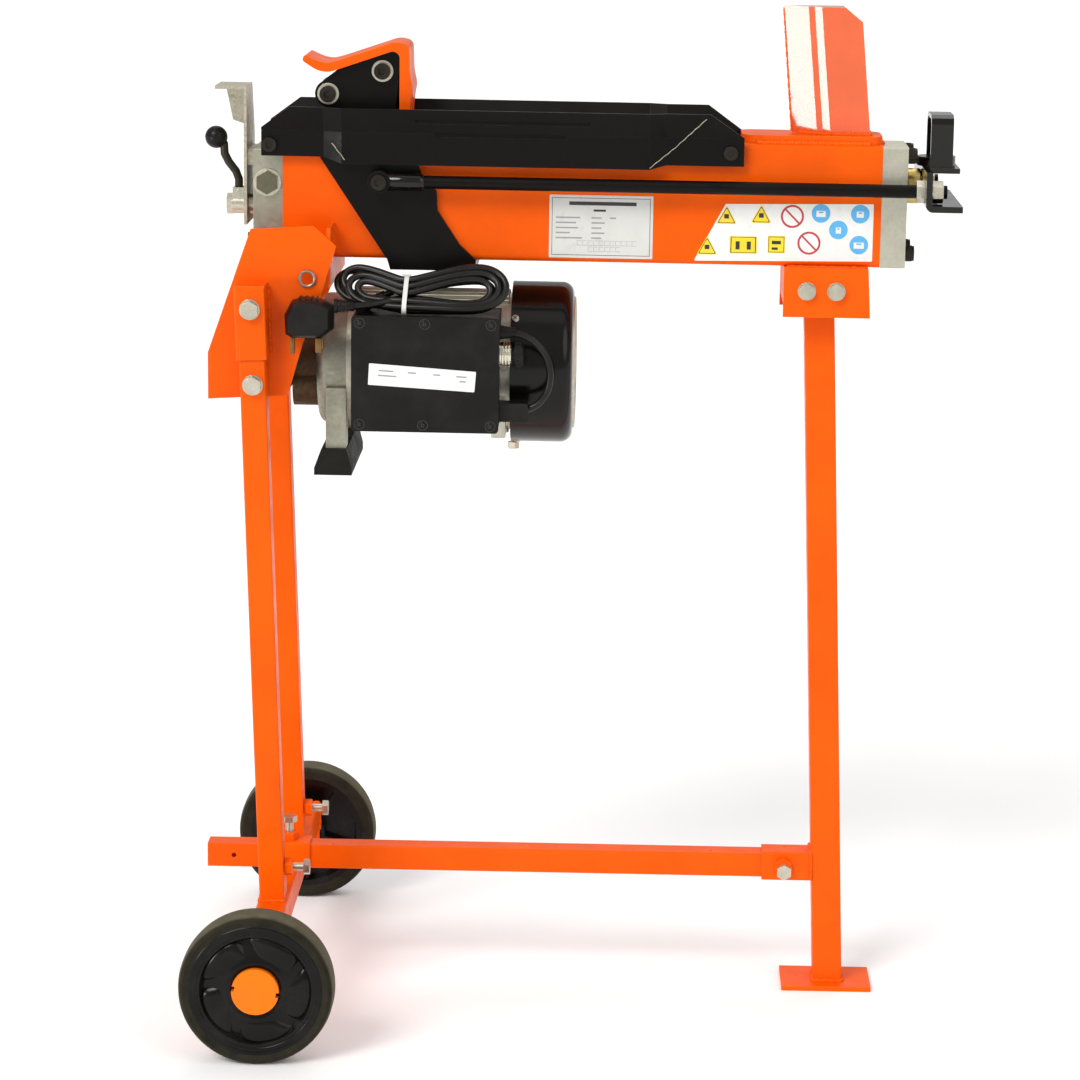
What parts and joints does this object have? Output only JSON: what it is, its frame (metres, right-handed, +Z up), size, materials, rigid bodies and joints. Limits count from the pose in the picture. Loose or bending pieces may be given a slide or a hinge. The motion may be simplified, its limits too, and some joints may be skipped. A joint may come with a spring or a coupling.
{
  "type": "electric log splitter",
  "caption": "Horizontal electric hydraulic log splitter on a wheeled stand: a ram draws a pusher along a beam towards a fixed wedge.",
  "frame": {"origin": "on the floor, under the middle of the whole machine", "axes": "+X along the beam towards the wedge, +Y to the rear, +Z up"},
  "size_m": [0.744, 0.556, 1.003],
  "materials": {
    "orange_paint": "gloss powder coat",
    "black_paint": "satin powder coat",
    "cast_aluminium": "machined casting",
    "chromed_rod": "ground and chromed",
    "steel": "plain machined steel",
    "zinc_fasteners": "zinc plated",
    "black_fasteners": "black oxide",
    "galvanised_sheet": "galvanised",
    "hub_plastic": "moulded",
    "orange_plastic": "moulded",
    "tyre_rubber": "solid rubber",
    "black_plastic": "moulded",
    "box_plastic": "fine textured",
    "fan_gloss": "gloss enamel",
    "rubber": "soft",
    "cable": "cable jacket",
    "nickel": "nickel plated",
    "copper_iron": "laminations and windings",
    "polyurethane": "seal"
  },
  "bodies": {
    "frame": {"beam_tube": "orange_paint", "end_cap_left": "cast_aluminium", "end_cap_right": "cast_aluminium", "cap_screws": "black_fasteners", "cylinder_tube": "steel", "oil_plug": "zinc_fasteners", "wedge": "orange_paint", "wing_front": "black_paint", "wing_rear": "black_paint", "hand_guard": "galvanised_sheet", "valve_gland": "zinc_fasteners", "bracket_front": "orange_paint", "bracket_rear": "orange_paint", "leg_front": "orange_paint", "leg_rear": "orange_paint", "stand_bolts": "zinc_fasteners", "crossbar": "orange_paint", "axle_stubs": "steel", "stretcher": "orange_paint", "leg_right": "orange_paint", "head_bracket": "orange_paint", "motor_housing": "cast_aluminium", "stator": "copper_iron", "end_bell": "cast_aluminium", "foot_pad": "rubber", "motor_bearings": "steel", "fan_cover": "fan_gloss", "pump_body": "cast_aluminium", "switch_box": "box_plastic", "box_lid": "box_plastic", "button_collar": "nickel", "cord_hank": "cable", "cord_tail": "cable", "plug": "black_plastic", "lead_grips": "black_plastic", "mains_outlet": "black_plastic", "motor_lead": "cable"},
    "ram": {"piston": "steel", "piston_seal": "polyurethane", "piston_rod": "chromed_rod", "yoke": "black_paint", "side_rods": "black_paint", "ram_fasteners": "zinc_fasteners", "saddle": "black_paint", "pusher_cheeks": "black_paint", "pusher_shoe": "orange_paint"},
    "lever": {"control_lever": "black_fasteners", "lever_knob": "black_plastic"},
    "spool": {"valve_spool": "steel"},
    "wheel_front": {"tyre_front": "tyre_rubber", "hub_front": "hub_plastic", "hub_cap_front": "orange_plastic"},
    "wheel_rear": {"tyre_rear": "tyre_rubber", "hub_rear": "hub_plastic", "hub_cap_rear": "orange_plastic"},
    "button": {"push_button": "black_plastic"},
    "rotor": {"rotor_shaft": "steel", "cooling_fan": "black_plastic", "pump_drive_gear": "steel"},
    "idle_gear": {"pump_driven_gear": "steel"}
  },
  "joints": [
    {"name": "ram_slide", "type": "slide", "parent": "frame", "child": "ram", "axis": [1, 0, 0], "range_m": [0, 0.29]},
    {"name": "lever_swing", "type": "hinge", "parent": "frame", "child": "lever", "pos_m": [-0.3365, -0.012, 0.8125], "axis": [0, 1, 0], "range_deg": [0, 14], "stiffness_Nm_per_rad": 1, "springref_deg": -5.73},
    {"name": "spool_slide", "type": "slide", "parent": "frame", "child": "spool", "axis": [1, 0, 0], "range_m": [-0.003, 0.0005]},
    {"name": "front_wheel_spin", "type": "hinge", "parent": "frame", "child": "wheel_front", "pos_m": [-0.2945, -0.26, 0.075], "axis": [0, 1, 0], "continuous": true},
    {"name": "rear_wheel_spin", "type": "hinge", "parent": "frame", "child": "wheel_rear", "pos_m": [-0.2945, 0.26, 0.075], "axis": [0, 1, 0], "continuous": true},
    {"name": "button_press", "type": "slide", "parent": "frame", "child": "button", "axis": [-1, 0, 0], "range_m": [0, 0.0025], "stiffness_N_per_m": 600, "springref_m": -0.002},
    {"name": "motor_spin", "type": "hinge", "parent": "frame", "child": "rotor", "pos_m": [-0.15, 0, 0.646], "axis": [1, 0, 0], "continuous": true},
    {"name": "idle_gear_spin", "type": "hinge", "parent": "frame", "child": "idle_gear", "pos_m": [-0.268, 0, 0.6216], "axis": [1, 0, 0], "continuous": true}
  ],
  "couplings": [
    {"joint": "spool_slide", "follows": "lever_swing", "m_per_rad": -0.0095},
    {"joint": "idle_gear_spin", "follows": "motor_spin", "ratio": -1}
  ]
}
